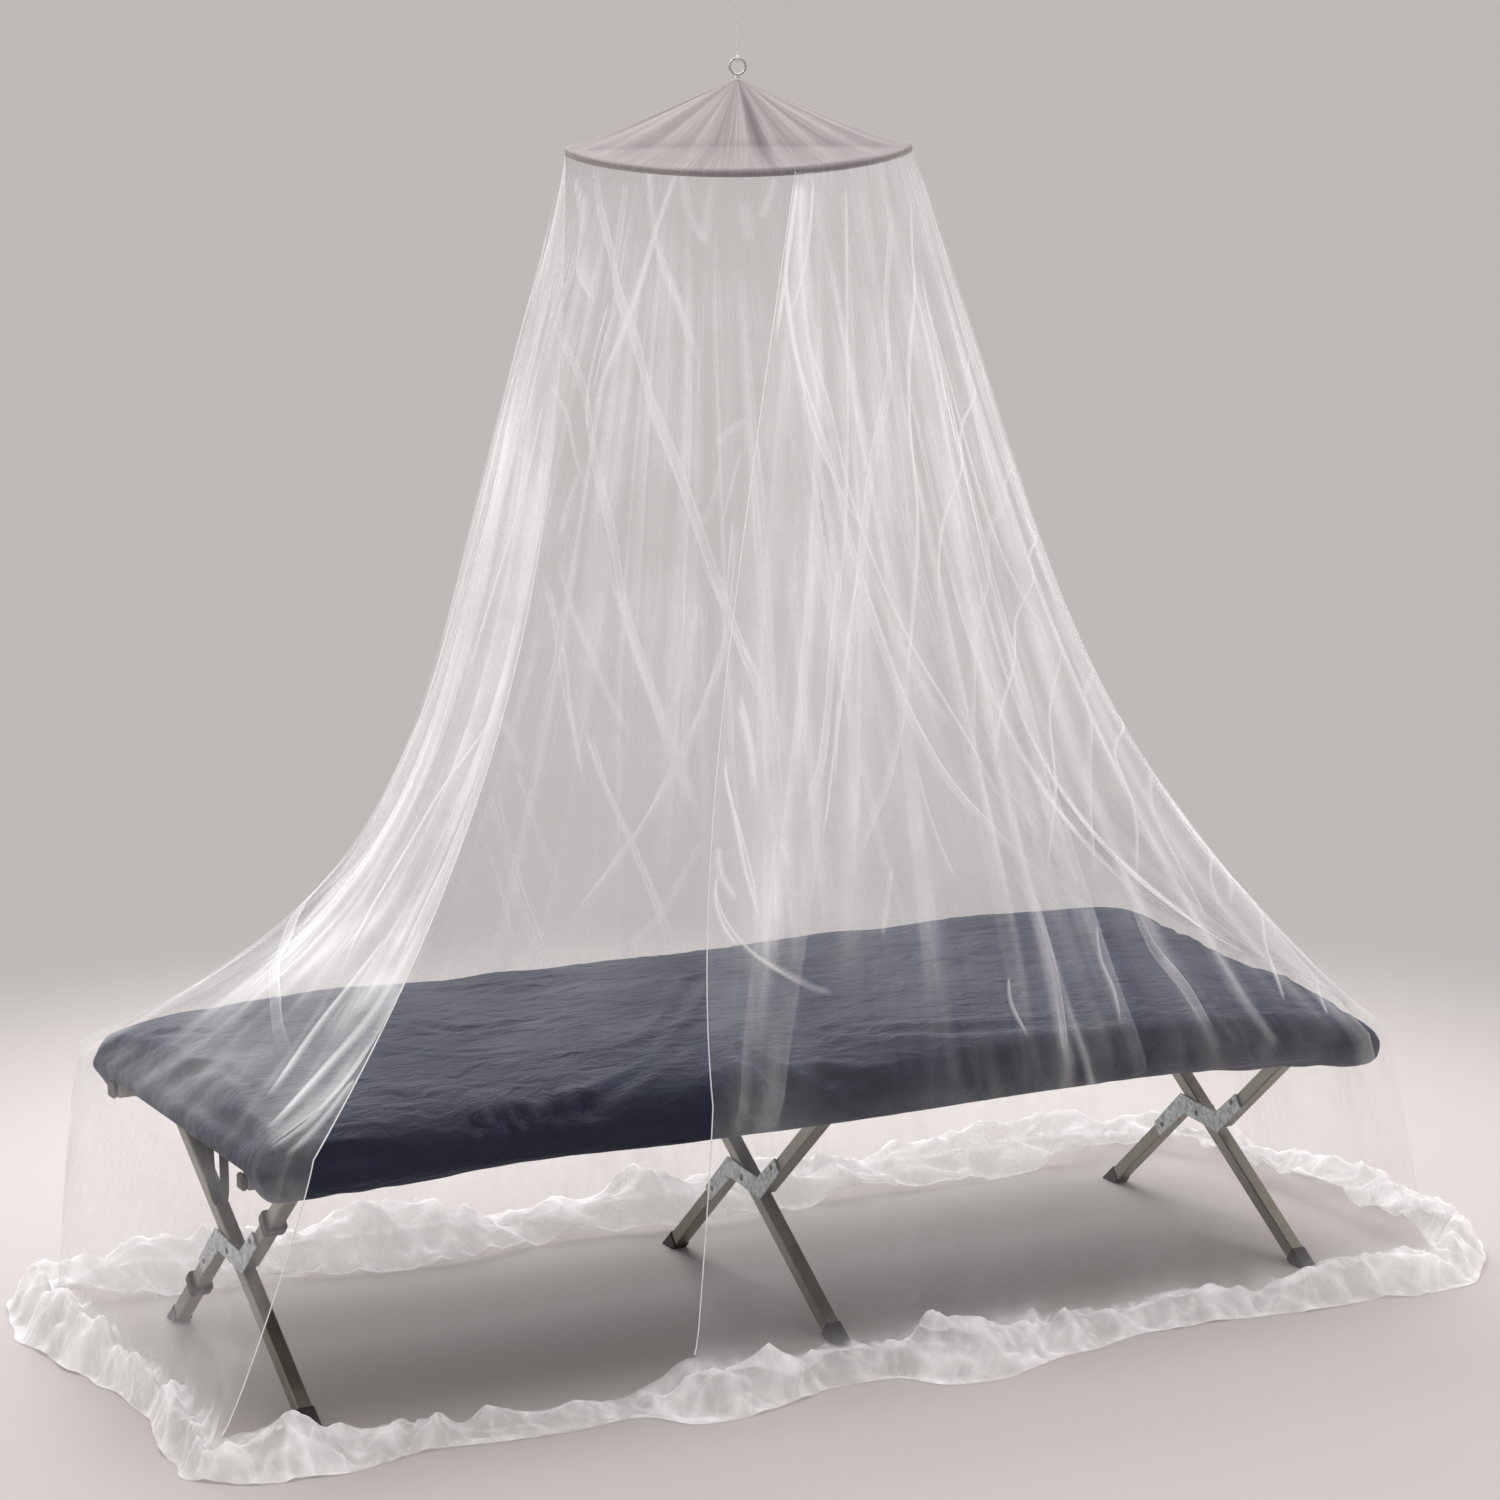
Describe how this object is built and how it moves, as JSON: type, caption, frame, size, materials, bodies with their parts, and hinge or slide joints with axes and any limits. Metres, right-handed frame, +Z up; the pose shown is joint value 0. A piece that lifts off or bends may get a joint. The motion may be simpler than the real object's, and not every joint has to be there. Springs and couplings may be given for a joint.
{
  "type": "mosquito net canopy with hoop over a camp bed",
  "caption": "Sheer net canopy gathered on a round hoop under a roof cone, hung on a cord and open at the front, draped over a padded folding camp bed.",
  "frame": {"origin": "bottom centre of the whole, on the floor under the bed", "axes": "+Z up, +X along the bed to the right as seen from the entrance, +Y away from the entrance side"},
  "size_m": [2.3608, 1.2156, 2.1238],
  "materials": {
    "net_white": "sheer white knitted net",
    "roof_fabric": "denser sheer fabric",
    "binding_white": "narrow rolled binding",
    "hoop_wire": "dark coated spring wire",
    "ring_metal": "plain bent wire ring",
    "cord_white": "thin twisted white cord",
    "pad_navy": "navy woven fabric, quilted",
    "deck_grey": "taut coarse woven fabric",
    "aluminium_olive": "satin olive-grey anodised tube",
    "plate_zinc": "zinc plated",
    "plastic_dark": "dark moulded plastic",
    "strap_dark": "dark webbing"
  },
  "bodies": {
    "root": {"bed_deck": "deck_grey", "bracket_1": "plate_zinc", "bracket_2": "plate_zinc", "bracket_3": "plate_zinc", "cord_hitch": "cord_white", "cord_whipping": "cord_white", "deck_strap": "strap_dark", "foot_back_1": "plastic_dark", "foot_back_2": "plastic_dark", "foot_back_3": "plastic_dark", "foot_front_1": "plastic_dark", "foot_front_2": "plastic_dark", "foot_front_3": "plastic_dark", "hanging_cord": "cord_white", "hanging_ring": "ring_metal", "leg_a_1": "aluminium_olive", "leg_a_2": "aluminium_olive", "leg_a_3": "aluminium_olive", "leg_b_lower_1": "aluminium_olive", "leg_b_lower_2": "aluminium_olive", "leg_b_lower_3": "aluminium_olive", "leg_b_upper_1": "aluminium_olive", "leg_b_upper_2": "aluminium_olive", "leg_b_upper_3": "aluminium_olive", "leg_collar_1": "plastic_dark", "leg_collar_2": "plastic_dark", "net_roof": "roof_fabric", "net_skirt": "net_white", "opening_edge_left": "binding_white", "opening_edge_right": "binding_white", "pad": "pad_navy", "rail_cap_1": "plastic_dark", "rail_cap_2": "plastic_dark", "rail_cap_3": "plastic_dark", "rail_cap_4": "plastic_dark", "side_rail_back": "aluminium_olive", "side_rail_front": "aluminium_olive", "spreader_hoop": "hoop_wire"}
  },
  "joints": []
}
